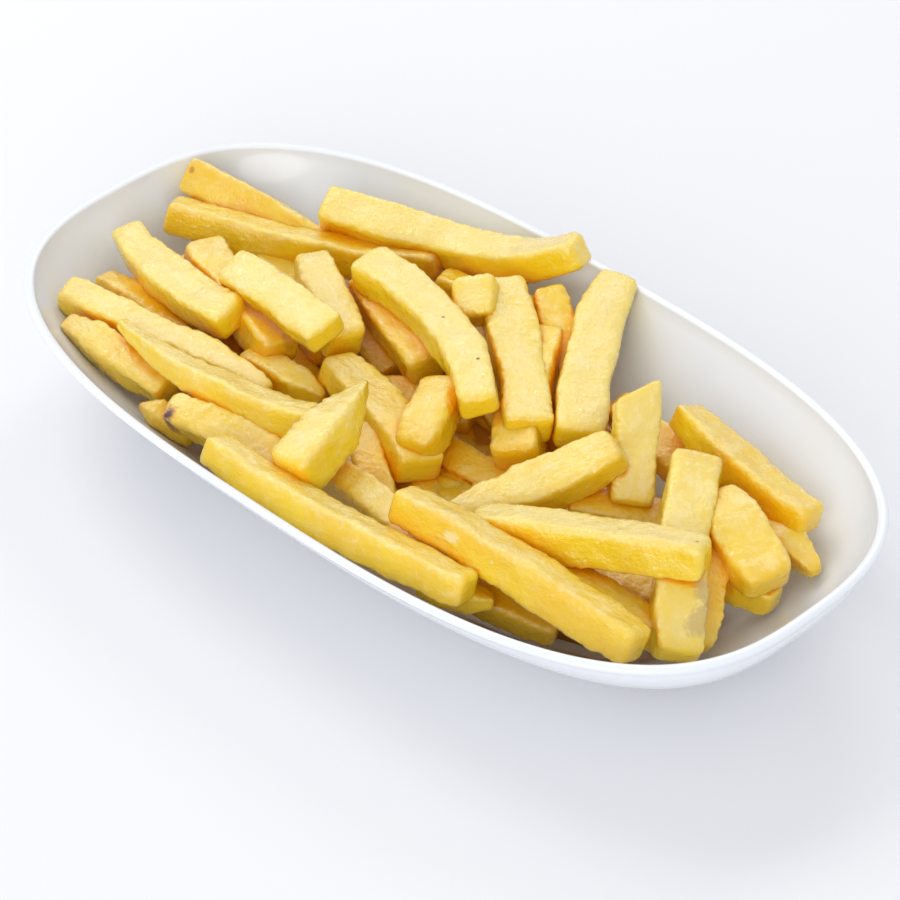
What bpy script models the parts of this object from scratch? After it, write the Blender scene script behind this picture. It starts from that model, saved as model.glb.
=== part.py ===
# French fries portion in an oval porcelain dish. Metres, +Z up, origin under the dish's middle.
import math

import bmesh
import bpy
from mathutils import Vector

MM = 0.001

# ---- dish, in millimetres; lengths and widths are half ones, from the middle ----
RIM_HEIGHT = 38.0
RIM_LENGTH = 119.5            # the lip's inner edge
RIM_WIDTH = 63.0
LIP_WIDTH = 2.6               # the rounded lip, inner edge to outermost line
LIP_ROUND = 0.9               # height of the lip's rounded top
LIP_DROP = 2.2                # height of the lip's outer face
LIP_UNDERCUT = 0.7            # how far the wall starts inside the lip's outermost line
LIP_STEPS = 5
OVAL_POWER = 2.83             # superellipse: fuller than an ellipse, softer than a slot
FLOOR_HEIGHT = 5.0
FLOOR_LENGTH = 82.5
FLOOR_WIDTH = 30.0
FLOOR_FLAT = 9.0              # width of the floor's soft edge, and how much lower the middle is
FLOOR_DIP = 0.4
FOOT_LENGTH = 82.0
FOOT_WIDTH = 28.5
FOOT_RING = 4.5
FOOT_HEIGHT = 1.5
FOOT_DRAFT = 0.5              # the foot widens by this much towards the wall
END_CURVE = 1.8               # how the ends and the sides of the wall bow inward with depth
SIDE_CURVE = 1.35
WALL_LEVELS = 9
DISH_SEGMENTS = 64

# ---- heap ----
GAP = 0.4                     # clear space between the heap and the glaze
BED_GAP = 1.0                 # the same for the bed, whose long facets cut across the oval
BED_DEPTH = 1.5               # how far the bed lies under the fries' centre lines
BED_REACH = 3.5               # how far to each side a fry holds the bed up
BED_SLOPE = 1.2               # how steeply the bed falls beyond that
BED_LOWEST = 9.0
BED_RINGS = 11
BED_SEGMENTS = 48
BED_SAMPLES = 8               # steps along each fry at which it holds the bed up
EDGE_ROUNDS = 6               # rounds in which the bed's edge settles on the wall
ENVELOPE_TOP = 80.0
ENVELOPE_LEVELS = 11
FRY_STATIONS = 4
FRY_CHAMFER = 0.24            # share of the smaller half side cut off each long edge, twice
END_LENGTH = 1.6              # length over which a cut end is rounded off
END_SHRINK = 0.84
TIP_SHARE = 0.3               # share of a fry's length over which it narrows to its tip

# Each fry, in millimetres: start, end, (width, thickness), (scale at start, scale at end),
# (sideways bow, sag) and roll in degrees. From the left end of the dish to the right one.
FRIES = (
    ((-114, 20, 35), (-60, 33, 26), (8.5, 10), (1.0, 0.7), (0, 0), -38),
    ((-108.5, 8, 32), (-40, 41, 33), (9.5, 9.5), (0.9, 0.8), (1, 4), -14),
    ((-75, 32.5, 38), (-6, 58, 45), (10.5, 9.5), (0.95, 0.85), (-1, 6), 12),
    ((-110, -5.5, 32), (-59, -14, 34), (11, 8.5), (0.75, 1.0), (-2, 1), 10),
    ((-89.5, 2, 33), (-45.5, -11, 29), (11, 9), (0.9, 0.95), (0, 0), -6),
    ((-96, 1, 26), (-60, -3, 23), (8, 8), (0.9, 0.9), (0, 1), 5),
    ((-71, -4, 40), (-32, -8, 40), (11, 7), (0.85, 1.0), (0, 0), 20),
    ((-64, 17, 33), (-34.5, 1.5, 30), (10.5, 11), (0.8, 1.0), (0, -1), -5),
    ((-48, 21, 38), (13, 0.5, 37), (11, 9), (1.0, 0.85), (7, -1), 4),
    ((-50, 23, 31), (-15.5, 12.5, 27), (11, 10), (0.9, 1.0), (0, 0), 14),
    ((-21, 26, 38), (-12, 33, 40), (11, 9.5), (0.9, 1.0), (0, 0), 30),
    ((-18.5, 40.5, 37), (23, 7.5, 31), (12.5, 9), (0.95, 0.95), (1, 1), -4),
    ((-9, 49, 36), (11, 37, 25), (9.5, 9), (0.9, 0.9), (0, 0), 8),
    ((-1.5, 39, 31), (24.5, 1.5, 26), (12, 10), (0.9, 1.0), (0, -1), 10),
    ((2, 62.5, 38), (33, 15, 29), (12.5, 9.5), (0.8, 1.0), (-1, 0), -10),
    ((-102.5, -34, 31), (-36, -24.5, 30), (9, 8), (0.85, 0.45), (0, 1), 7),
    ((-104, -20, 26), (-74, -16, 24), (8, 7), (0.9, 0.9), (0, 0), -12),
    ((-94.5, -40.5, 29), (-57, -39, 26), (9, 8), (0.55, 0.9), (0, 0), 15),
    ((-77.5, -37, 36), (-13, -31, 35), (10.5, 9), (0.3, 0.9), (-2, 1.5), -20),
    ((-48, -47, 30), (-12, -39, 27), (9.5, 9), (0.95, 0.9), (0, 0), 28),
    ((-57.5, -49, 27), (-42, -44, 23), (7, 6), (0.2, 0.9), (0, 0), 3),
    ((-25, -54.5, 35), (55.5, -46.5, 33), (10, 9), (0.85, 0.8), (-1, 1), -22),
    ((-10, -16, 42), (-2.5, -49, 35), (12.5, 12), (0.12, 1.0), (0, -1), 18),
    ((-34, -4.5, 28), (9, -16, 24), (12.5, 9), (0.9, 0.9), (1, 0), -14),
    ((-5.5, -33.5, 26), (34, -38, 25), (9, 8), (0.9, 0.9), (1, 0), 8),
    ((-13, -14, 25), (9, -29, 19), (8, 8), (0.9, 0.9), (0, 0), 12),
    ((24, -39, 38), (94.5, -30.5, 29), (11, 10), (0.85, 0.95), (0, 0), -24),
    ((-3.5, 5.5, 33), (6, -15.5, 28), (11.5, 9.5), (0.9, 0.85), (0, -1), 10),
    ((2, -2, 19), (26, 2, 17), (9, 9), (0.9, 0.9), (0, 0), 20),
    ((26, -28, 28), (49, 12, 39), (12.5, 10.5), (0.3, 0.8), (0, 4), 15),
    ((39, -29, 33), (91, -3, 37), (11, 10), (0.75, 0.95), (0, 0), -13),
    ((66, 22, 39), (98, -21, 22), (12.5, 9), (0.95, 0.85), (0, 0), -8),
    ((83, 10, 28), (96, -11, 17), (9, 8), (0.9, 0.6), (0, 0), -20),
    ((74, 18, 34), (100.5, 9.5, 27), (14, 10), (0.7, 0.85), (0, 0), 8),
    ((84, 9, 21), (100, 12, 19), (8, 7), (0.9, 0.9), (0, 0), -10),
    ((66, 32, 27), (103, 23, 24), (9, 8), (0.9, 0.4), (0, 0), 12),
    ((47.5, 37, 34), (95, 31, 30), (10.5, 9), (0.85, 0.85), (-1, 0), -18),
    ((27, 35, 26), (78, 27, 21), (9, 8), (0.9, 0.9), (0, 0), 10),
    ((40, 28, 42), (56, 8, 26), (10.5, 7), (0.95, 1.0), (0, 0), -16),
    ((44, 0, 25), (66, 17, 21), (9, 8), (0.9, 0.9), (0, 0), 14),
    ((61, -24, 28), (90, -15, 20), (9, 8), (0.9, 0.9), (0, 0), -9),
    ((60, -8, 18), (84, -1, 16), (9, 8), (0.9, 0.9), (0, 0), 11),
    ((40, -47, 27), (56, -39, 25), (7, 6), (0.9, 0.4), (0, 0), -3),
    ((41, -37, 20), (67, -28, 16), (8, 8), (0.9, 0.9), (0, 0), 13),
    ((-53.5, -16.5, 27), (-28.5, -12.5, 25), (8, 7), (0.9, 0.35), (0, 0), -8),
    ((-54, 22, 21), (-30, 13, 17), (8, 8), (0.9, 0.9), (0, 0), 16),
    ((-36, 36, 31), (-2, 44, 29), (9, 8), (0.9, 0.9), (0, 0), -12),
    ((-30, 2, 19), (-2, 14, 18), (9, 8), (0.9, 0.9), (0, 0), 9),
)

DISH_COLOUR = (0.86, 0.87, 0.88, 1.0)
FRIES_COLOUR = (0.86, 0.56, 0.12, 1.0)


def bowed(share, length, width):
    """Inset of the wall's half length and half width at a share of its depth."""
    return length * share ** END_CURVE, width * share ** SIDE_CURVE


def innerOval(height, gap=0.0):
    """Half length and half width of the dish's hollow at a height, less a gap."""
    share = min(max((RIM_HEIGHT - height) / (RIM_HEIGHT - FLOOR_HEIGHT), 0.0), 1.0)
    atEnd, atSide = bowed(share, RIM_LENGTH - FLOOR_LENGTH, RIM_WIDTH - FLOOR_WIDTH)
    return RIM_LENGTH - atEnd - gap, RIM_WIDTH - atSide - gap


def outerOval(height):
    """Half length and half width of the dish's outside at a height."""
    length = RIM_LENGTH + LIP_WIDTH - LIP_UNDERCUT
    width = RIM_WIDTH + LIP_WIDTH - LIP_UNDERCUT
    footLength, footWidth = FOOT_LENGTH + FOOT_DRAFT, FOOT_WIDTH + FOOT_DRAFT
    share = (RIM_HEIGHT - height) / (RIM_HEIGHT - FOOT_HEIGHT)
    atEnd, atSide = bowed(share, length - footLength, width - footWidth)
    return length - atEnd, width - atSide


def ovalLoop(length, width, height, segments, share=1.0):
    """Points of a superellipse at a height, drawn in to a share of its size."""
    power = 2.0 / OVAL_POWER
    for k in range(segments):
        turn = 2.0 * math.pi * (k + 0.5) / segments
        c, s = math.cos(turn), math.sin(turn)
        x = math.copysign(abs(c) ** power, c) * length * share
        y = math.copysign(abs(s) ** power, s) * width * share
        yield Vector((x, y, height))


def skinned(name, loops):
    """Object whose faces join a row of equal loops, with the first and last closed flat."""
    bm = bmesh.new()
    addSkin(bm, loops)
    return finished(name, bm)


def addSkin(bm, loops):
    rows = [[bm.verts.new(point * MM) for point in loop] for loop in loops]
    count = len(rows[0])
    for lower, upper in zip(rows, rows[1:]):
        for k in range(count):
            n = (k + 1) % count
            bm.faces.new((lower[k], lower[n], upper[n], upper[k]))
    bm.faces.new(rows[0][::-1])
    bm.faces.new(rows[-1])


def finished(name, bm):
    bmesh.ops.recalc_face_normals(bm, faces=bm.faces)
    mesh = bpy.data.meshes.new(name)
    bm.to_mesh(mesh)
    bm.free()
    return bpy.data.objects.new(name, mesh)


def dishLoops():
    """The dish's section: from under the middle, up the outside, over the lip, down to the floor."""
    inside = FOOT_RING + FOOT_DRAFT
    rings = [(FOOT_LENGTH - inside, FOOT_WIDTH - inside, FOOT_HEIGHT),
             (FOOT_LENGTH - FOOT_RING, FOOT_WIDTH - FOOT_RING, 0.0),
             (FOOT_LENGTH, FOOT_WIDTH, 0.0)]
    wallTop = RIM_HEIGHT - LIP_DROP - LIP_UNDERCUT
    for k in range(WALL_LEVELS):
        height = FOOT_HEIGHT + (wallTop - FOOT_HEIGHT) * k / (WALL_LEVELS - 1)
        rings.append((*outerOval(height), height))
    rings.append((RIM_LENGTH + LIP_WIDTH, RIM_WIDTH + LIP_WIDTH, RIM_HEIGHT - LIP_DROP))
    for k in range(LIP_STEPS):
        turn = math.pi * k / (LIP_STEPS - 1)
        out = 0.5 * LIP_WIDTH * (1.0 + math.cos(turn))
        rings.append((RIM_LENGTH + out, RIM_WIDTH + out, RIM_HEIGHT - LIP_ROUND * (1.0 - math.sin(turn))))
    innerTop = RIM_HEIGHT - LIP_ROUND
    for k in range(1, WALL_LEVELS):
        height = innerTop - (innerTop - FLOOR_HEIGHT) * math.sin(0.5 * math.pi * k / (WALL_LEVELS - 1))
        rings.append((*innerOval(height), height))
    rings.append((FLOOR_LENGTH - FLOOR_FLAT, FLOOR_WIDTH - FLOOR_FLAT, FLOOR_HEIGHT - FLOOR_DIP))
    return [list(ovalLoop(*ring, DISH_SEGMENTS)) for ring in rings]


def fryFrame(start, end, roll):
    """Sideways and upward unit vectors of a fry, turned about its length."""
    along = (end - start).normalized()
    side = Vector((0.0, 0.0, 1.0)).cross(along).normalized()
    up = along.cross(side)
    turn = math.radians(roll)
    return side * math.cos(turn) + up * math.sin(turn), up * math.cos(turn) - side * math.sin(turn)


def fryCentre(fry, share):
    """Point of a fry's bent centre line."""
    start, end = Vector(fry[0]), Vector(fry[1])
    side, up = fryFrame(start, end, 0.0)
    bow, sag = fry[4]
    arch = 4.0 * share * (1.0 - share)
    return start.lerp(end, share) + side * (bow * arch) - up * (sag * arch)


def fryLoops(fry):
    """Square sections with cut corners along one fry, its two ends drawn in."""
    start, end = Vector(fry[0]), Vector(fry[1])
    side, up = fryFrame(start, end, fry[5])
    endShare = END_LENGTH / (end - start).length
    halfWidth, halfThick = fry[2][0] / 2.0, fry[2][1] / 2.0
    corner = FRY_CHAMFER * min(halfWidth, halfThick) * 2.0
    body = [endShare + (1.0 - 2.0 * endShare) * k / (FRY_STATIONS - 1) for k in range(FRY_STATIONS)]
    for share in [0.0, *body, 1.0]:
        scale = min(fry[3][0] + (1.0 - fry[3][0]) * min(1.0, share / TIP_SHARE),
                    fry[3][1] + (1.0 - fry[3][1]) * min(1.0, (1.0 - share) / TIP_SHARE))
        if share in (0.0, 1.0):
            scale *= END_SHRINK
        w, t, c = halfWidth * scale, halfThick * scale, corner * scale
        middle = fryCentre(fry, share)
        outline = ((w, t - c), (w - c, t), (c - w, t), (-w, t - c),
                   (-w, c - t), (c - w, -t), (w - c, -t), (w, c - t))
        yield [middle + side * u + up * v for u, v in outline]


def friesObject(name):
    bm = bmesh.new()
    for fry in FRIES:
        addSkin(bm, list(fryLoops(fry)))
    return finished(name, bm)


def bedHeight(point, samples):
    """Height of the bed at a point: it drapes just under the centre lines of the fries nearby."""
    height = BED_LOWEST
    for sample in samples:
        reach = (point.xy - sample.xy).length
        height = max(height, sample.z - BED_DEPTH - BED_SLOPE * max(0.0, reach - BED_REACH))
    return height


def bedLoops():
    """The bed that joins the fries: an uneven top over a body shaped to the dish's hollow."""
    samples = [fryCentre(fry, k / BED_SAMPLES) for fry in FRIES for k in range(BED_SAMPLES + 1)]
    base = FLOOR_HEIGHT + GAP
    loops = [list(ovalLoop(*innerOval(height, BED_GAP), height, BED_SEGMENTS))
             for height in (base, 0.5 * (base + BED_LOWEST))]
    for ring in range(BED_RINGS, 0, -1):
        share = ring / BED_RINGS
        heights = [BED_LOWEST] * BED_SEGMENTS
        for _ in range(EDGE_ROUNDS):
            loop = [list(ovalLoop(*innerOval(height, BED_GAP), height, BED_SEGMENTS, share))[k]
                    for k, height in enumerate(heights)]
            heights = [0.5 * (height + bedHeight(point, samples)) for height, point in zip(heights, loop)]
        loops.append(loop)
    return loops


def envelopeLoops():
    """The hollow less a clear gap all round, carried straight up above the rim."""
    base = FLOOR_HEIGHT + GAP
    heights = [base + (RIM_HEIGHT - base) * k / (ENVELOPE_LEVELS - 1) for k in range(ENVELOPE_LEVELS)]
    loops = [list(ovalLoop(*innerOval(height, GAP), height, DISH_SEGMENTS)) for height in heights]
    loops.append(list(ovalLoop(*innerOval(RIM_HEIGHT, GAP), ENVELOPE_TOP, DISH_SEGMENTS)))
    return loops


def material(name, colour, roughness):
    result = bpy.data.materials.new(name)
    result.use_nodes = True
    shader = result.node_tree.nodes["Principled BSDF"]
    shader.inputs["Base Color"].default_value = colour
    shader.inputs["Roughness"].default_value = roughness
    return result


def addBoolean(target, tool, operation):
    """Joins or cuts with the exact solver; the sticks also cross one another."""
    modifier = target.modifiers.new(operation.lower(), "BOOLEAN")
    modifier.operation = operation
    modifier.solver = "EXACT"
    modifier.use_self = operation == "UNION"
    modifier.object = tool


for old in list(bpy.data.objects):
    bpy.data.objects.remove(old, do_unlink=True)

parts = bpy.data.collections.new("french_fries_portion")
cutters = bpy.data.collections.new("cutters")
for collection in (parts, cutters):
    bpy.context.scene.collection.children.link(collection)

dish = skinned("dish", dishLoops())
dish.data.materials.append(material("porcelain", DISH_COLOUR, 0.15))
parts.objects.link(dish)

heap = skinned("fries_heap", bedLoops())
heap.data.materials.append(material("potato", FRIES_COLOUR, 0.5))
parts.objects.link(heap)

sticks = friesObject("sticks")
envelope = skinned("envelope", envelopeLoops())
for tool in (sticks, envelope):
    cutters.objects.link(tool)
    tool.hide_render = True
    tool.display_type = "WIRE"
addBoolean(heap, sticks, "UNION")
addBoolean(heap, envelope, "INTERSECT")
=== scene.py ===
import bpy
import bmesh
import math
import random
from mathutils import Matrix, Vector
from mathutils.bvhtree import BVHTree


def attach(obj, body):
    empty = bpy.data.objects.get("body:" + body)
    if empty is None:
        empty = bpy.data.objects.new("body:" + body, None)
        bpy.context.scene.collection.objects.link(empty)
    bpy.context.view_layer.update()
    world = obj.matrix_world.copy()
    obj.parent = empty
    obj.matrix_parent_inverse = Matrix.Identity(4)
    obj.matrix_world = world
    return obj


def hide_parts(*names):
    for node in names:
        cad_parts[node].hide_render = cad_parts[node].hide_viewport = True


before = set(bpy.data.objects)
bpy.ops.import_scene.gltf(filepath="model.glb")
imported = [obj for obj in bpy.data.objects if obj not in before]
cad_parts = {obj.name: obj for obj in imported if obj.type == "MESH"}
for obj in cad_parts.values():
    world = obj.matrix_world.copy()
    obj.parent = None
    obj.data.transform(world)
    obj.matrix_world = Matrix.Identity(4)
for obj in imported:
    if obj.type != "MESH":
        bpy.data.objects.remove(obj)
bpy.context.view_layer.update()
mm = 0.001


class Value:
    # a socket of a node tree that can be reckoned with: each step makes a Math node

    def __init__(self, tree, socket):
        self.tree, self.socket = tree, socket

    def math(self, operation, *others, clamp=False):
        return reckoned(self.tree, operation, (self, *others), clamp)

    def __add__(self, other):
        return self.math("ADD", other)

    def __sub__(self, other):
        return self.math("SUBTRACT", other)

    def __rsub__(self, number):
        return reckoned(self.tree, "SUBTRACT", (number, self))

    def __mul__(self, other):
        return self.math("MULTIPLY", other)

    def __truediv__(self, other):
        return self.math("DIVIDE", other)

    def __rtruediv__(self, number):
        return reckoned(self.tree, "DIVIDE", (number, self))

    def __pow__(self, other):
        return self.math("POWER", other)

    def __abs__(self):
        return self.math("ABSOLUTE")

    def clamped(self):
        return self.math("ADD", 0.0, clamp=True)

    def mixedWith(self, other, share):
        return self + (other - self) * share


class Arrow(Value):
    # the same for a vector socket

    def vector(self, operation, *others, scale=None):
        node = self.tree.nodes.new("ShaderNodeVectorMath")
        node.operation = operation
        for slot, item in zip(node.inputs, (self, *others)):
            connect(self.tree, item, slot)
        if scale is not None:
            connect(self.tree, scale, node.inputs["Scale"])
        return node

    def __add__(self, other):
        return Arrow(self.tree, self.vector("ADD", other).outputs[0])

    def __sub__(self, other):
        return Arrow(self.tree, self.vector("SUBTRACT", other).outputs[0])

    def __mul__(self, scale):
        return Arrow(self.tree, self.vector("SCALE", scale=scale).outputs[0])

    def __truediv__(self, other):
        return Arrow(self.tree, self.vector("DIVIDE", other).outputs[0])

    def cross(self, other):
        return Arrow(self.tree, self.vector("CROSS_PRODUCT", other).outputs[0])

    def unit(self):
        return Arrow(self.tree, self.vector("NORMALIZE").outputs[0])

    def length(self):
        return Value(self.tree, self.vector("LENGTH").outputs["Value"])

    def split(self):
        node = self.tree.nodes.new("ShaderNodeSeparateXYZ")
        self.tree.links.new(self.socket, node.inputs[0])
        return [Value(self.tree, out) for out in node.outputs]


def connect(tree, item, slot):
    # a link for a socket, a plain setting for anything else
    if isinstance(item, Value):
        tree.links.new(item.socket, slot)
    else:
        slot.default_value = item


def reckoned(tree, operation, items, clamp=False):
    node = tree.nodes.new("ShaderNodeMath")
    node.operation, node.use_clamp = operation, clamp
    for slot, item in zip(node.inputs, items):
        connect(tree, item, slot)
    return Value(tree, node.outputs[0])


def joined(tree, x, y, z):
    node = tree.nodes.new("ShaderNodeCombineXYZ")
    for slot, item in zip(node.inputs, (x, y, z)):
        connect(tree, item, slot)
    return Arrow(tree, node.outputs[0])


def between(value, low, high):
    # how far a value has come from one number to another, held to 0..1
    return ((value - low) * (1.0 / (high - low))).clamped()


def makeTree(name, inputs):
    # a Geometry Nodes tree with named inputs: a number, a whole number or a vector each
    tree = bpy.data.node_groups.new(name, "GeometryNodeTree")
    tree.interface.new_socket("Geometry", in_out="INPUT", socket_type="NodeSocketGeometry")
    kinds = {float: "NodeSocketFloat", int: "NodeSocketInt", tuple: "NodeSocketVector"}
    for label, value in inputs.items():
        socket = tree.interface.new_socket(label, in_out="INPUT", socket_type=kinds[type(value)])
        socket.default_value = value
    tree.interface.new_socket("Geometry", in_out="OUTPUT", socket_type="NodeSocketGeometry")
    given = tree.nodes.new("NodeGroupInput")
    values = {}
    for label, value in inputs.items():
        kind = Arrow if isinstance(value, tuple) else Value
        values[label] = kind(tree, given.outputs[label])
    return tree, values


def position(tree):
    return Arrow(tree, tree.nodes.new("GeometryNodeInputPosition").outputs[0])


def storeAttribute(tree, geometry, name, value, kind="FLOAT"):
    node = tree.nodes.new("GeometryNodeStoreNamedAttribute")
    node.data_type, node.domain = kind, "POINT"
    node.inputs["Name"].default_value = name
    tree.links.new(geometry, node.inputs["Geometry"])
    tree.links.new(value.socket, node.inputs["Value"])
    return node.outputs["Geometry"]


def moveAndWeld(tree, geometry, place, weldGap):
    # every point to its place, and the points that fall together merged
    move = tree.nodes.new("GeometryNodeSetPosition")
    tree.links.new(geometry, move.inputs["Geometry"])
    tree.links.new(place.socket, move.inputs["Position"])
    weld = tree.nodes.new("GeometryNodeMergeByDistance")
    connect(tree, weldGap, weld.inputs["Distance"])
    tree.links.new(move.outputs["Geometry"], weld.inputs["Geometry"])
    return weld.outputs["Geometry"]


def finishTree(tree, geometry, material):
    # every tree ends the same way: smooth, realized, with its material set
    shade = tree.nodes.new("GeometryNodeSetShadeSmooth")
    tree.links.new(geometry, shade.inputs["Geometry"])
    real = tree.nodes.new("GeometryNodeRealizeInstances")
    tree.links.new(shade.outputs["Geometry"], real.inputs["Geometry"])
    finish = tree.nodes.new("GeometryNodeSetMaterial")
    finish.inputs["Material"].default_value = material
    tree.links.new(real.outputs["Geometry"], finish.inputs["Geometry"])
    out = tree.nodes.new("NodeGroupOutput")
    tree.links.new(finish.outputs["Geometry"], out.inputs["Geometry"])


def runTree(name, tree, values):
    # the tree's result for one set of values, as a plain mesh
    holder = bpy.data.objects.new(name, bpy.data.meshes.new(name))
    bpy.context.scene.collection.objects.link(holder)
    modifier = holder.modifiers.new("shape", "NODES")
    modifier.node_group = tree
    for item in tree.interface.items_tree:
        if item.in_out == "INPUT" and item.name in values:
            modifier[item.identifier] = values[item.name]
    mesh = bpy.data.meshes.new_from_object(holder.evaluated_get(bpy.context.evaluated_depsgraph_get()))
    bpy.data.objects.remove(holder, do_unlink=True)
    material = [m for m in mesh.materials if m][0]
    mesh.materials.clear()
    mesh.materials.append(material)
    mesh.polygons.foreach_set("material_index", [0] * len(mesh.polygons))
    return mesh


def addPiece(name, mesh, node):
    piece = bpy.data.objects.new(name, mesh)
    bpy.context.scene.collection.objects.link(piece)
    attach(piece, "root")
    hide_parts(node)


def makeMaterial(name):
    material = bpy.data.materials.new(name)
    material.use_nodes = True
    return material, material.node_tree, material.node_tree.nodes["Principled BSDF"]


def objectPlace(tree):
    return tree.nodes.new("ShaderNodeTexCoord").outputs["Object"]


def attribute(tree, name):
    node = tree.nodes.new("ShaderNodeAttribute")
    node.attribute_name = name
    return node


def mixColour(tree, factor, first, second):
    node = tree.nodes.new("ShaderNodeMix")
    node.data_type = "RGBA"
    for slot, item in zip((node.inputs[0], node.inputs[6], node.inputs[7]), (factor, first, second)):
        if isinstance(item, bpy.types.NodeSocket):
            tree.links.new(item, slot)
        else:
            slot.default_value = item
    return node.outputs[2]


def noise(tree, vector, scale, detail, roughness=0.5, distortion=0.0):
    node = tree.nodes.new("ShaderNodeTexNoise")
    node.inputs["Scale"].default_value = scale
    node.inputs["Detail"].default_value = detail
    node.inputs["Roughness"].default_value = roughness
    node.inputs["Distortion"].default_value = distortion
    tree.links.new(vector, node.inputs["Vector"])
    return node


def bumpNormal(tree, height, strength, distance):
    bump = tree.nodes.new("ShaderNodeBump")
    bump.inputs["Strength"].default_value = strength
    bump.inputs["Distance"].default_value = distance
    tree.links.new(height, bump.inputs["Height"])
    return bump.outputs["Normal"]


# viewpoint and surroundings: lengths in metres, angles in degrees
studio = {
    "aim": (0.020, -0.017, 0.038),
    "distance": 0.969,
    "azimuth": -45.6,
    "elevation": 38.9,
    "lens": 160.0,
    "sensor": 36.0,
    "clip": (0.01, 20.0),
    "worldColour": (0.93, 0.955, 1.0, 1.0),
    "worldStrength": 0.80,
    "floorColour": (0.84, 0.835, 0.845, 1.0),
    "floorRoughness": 0.8,
    "floorSize": 3.0,
}

# direction seen from the dish as (azimuth, elevation), distance and size in metres, watts, colour
lights = {
    "backSoftbox": {
        "from": (176.0, 48.0), "distance": 1.2, "size": 0.6, "power": 3.2, "colour": (1.0, 0.985, 0.96)},
    "sideSoftbox": {
        "from": (122.0, 42.0), "distance": 1.3, "size": 0.45, "power": 2.0, "colour": (1.0, 0.99, 0.97)},
    "frontFill": {
        "from": (-58.0, 26.0), "distance": 1.4, "size": 1.0, "power": 7.0, "colour": (1.0, 0.995, 0.985)},
}


def directionFrom(azimuth, elevation):
    a, e = math.radians(azimuth), math.radians(elevation)
    return Vector((math.cos(a) * math.cos(e), math.sin(a) * math.cos(e), math.sin(e)))


def lookAt(thing, place, aim):
    thing.location = place
    thing.rotation_mode = "QUATERNION"
    thing.rotation_quaternion = (Vector(aim) - Vector(place)).to_track_quat("-Z", "Y")


def makeCamera(scene):
    camera = bpy.data.objects.new("camera", bpy.data.cameras.new("camera"))
    scene.collection.objects.link(camera)
    camera.data.lens, camera.data.sensor_width = studio["lens"], studio["sensor"]
    camera.data.clip_start, camera.data.clip_end = studio["clip"]
    aim = Vector(studio["aim"])
    lookAt(camera, aim + directionFrom(studio["azimuth"], studio["elevation"]) * studio["distance"], aim)
    scene.camera = camera


def makeLights(scene):
    for name, light in lights.items():
        lamp = bpy.data.objects.new(name, bpy.data.lights.new(name, "AREA"))
        scene.collection.objects.link(lamp)
        lamp.data.shape, lamp.data.size = "DISK", light["size"]
        lamp.data.energy, lamp.data.color = light["power"], light["colour"]
        lookAt(lamp, directionFrom(*light["from"]) * light["distance"], (0.0, 0.0, 0.0))
    world = bpy.data.worlds.new("studio")
    world.use_nodes = True
    background = world.node_tree.nodes["Background"]
    background.inputs["Color"].default_value = studio["worldColour"]
    background.inputs["Strength"].default_value = studio["worldStrength"]
    scene.world = world
    scene.view_settings.view_transform = "Standard"


def makeFloor(scene):
    mesh = bpy.data.meshes.new("floor")
    half = studio["floorSize"] / 2.0
    mesh.from_pydata([(-half, -half, 0.0), (half, -half, 0.0), (half, half, 0.0), (-half, half, 0.0)],
                     [], [(0, 1, 2, 3)])
    floor = bpy.data.objects.new("floor", mesh)
    scene.collection.objects.link(floor)
    material, _, shader = makeMaterial("paleFloor")
    shader.inputs["Base Color"].default_value = studio["floorColour"]
    shader.inputs["Roughness"].default_value = studio["floorRoughness"]
    mesh.materials.append(material)


# the oval dish in millimetres; lengths and widths are half ones
dishSizes = {
    "rimHeight": 38.0,
    "rimLength": 119.5,
    "rimWidth": 63.0,
    "lipWidth": 2.6,
    "lipRound": 0.9,
    "lipDrop": 2.2,
    "lipUndercut": 0.7,
    "floorHeight": 5.0,
    "floorLength": 82.5,
    "floorWidth": 30.0,
    "floorDip": 0.4,
    "footLength": 82.0,
    "footWidth": 28.5,
    "footRing": 4.5,
    "footHeight": 1.5,
    "footDraft": 0.5,
    "ovalPower": 2.83,
    "endCurve": 1.8,
    "sideCurve": 1.35,
    "segments": 288,
    "levels": 121,         # twenty steps to each of the six stretches of the section, and one to close
    "weldGap": 0.01,
}

# white glaze: cloudsScale and rippleScale are waves per metre, the ripple's depth is in metres
porcelain = {
    "shade": (0.82, 0.845, 0.885, 1.0),
    "light": (0.85, 0.875, 0.915, 1.0),
    "cloudsScale": 25.0,
    "rippleScale": 60.0,
    "rippleStrength": 0.08,
    "rippleDepth": 0.0006,
    "noiseDetail": 2.0,
    "roughness": 0.2,
    "coat": 0.25,
    "coatRoughness": 0.04,
}


def glazeFinish():
    material, tree, shader = makeMaterial("whiteGlaze")
    where = objectPlace(tree)
    clouds = noise(tree, where, porcelain["cloudsScale"], porcelain["noiseDetail"])
    colour = mixColour(tree, clouds.outputs[0], porcelain["shade"], porcelain["light"])
    tree.links.new(colour, shader.inputs["Base Color"])
    shader.inputs["Roughness"].default_value = porcelain["roughness"]
    shader.inputs["Coat Weight"].default_value = porcelain["coat"]
    shader.inputs["Coat Roughness"].default_value = porcelain["coatRoughness"]
    ripple = noise(tree, where, porcelain["rippleScale"], porcelain["noiseDetail"])
    normal = bumpNormal(tree, ripple.outputs[0], porcelain["rippleStrength"], porcelain["rippleDepth"])
    tree.links.new(normal, shader.inputs["Normal"])
    return material


def ovalSide(value, power):
    # cosine or sine raised for a superellipse, keeping its sign
    return (abs(value) ** power) * value.math("SIGN")


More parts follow.
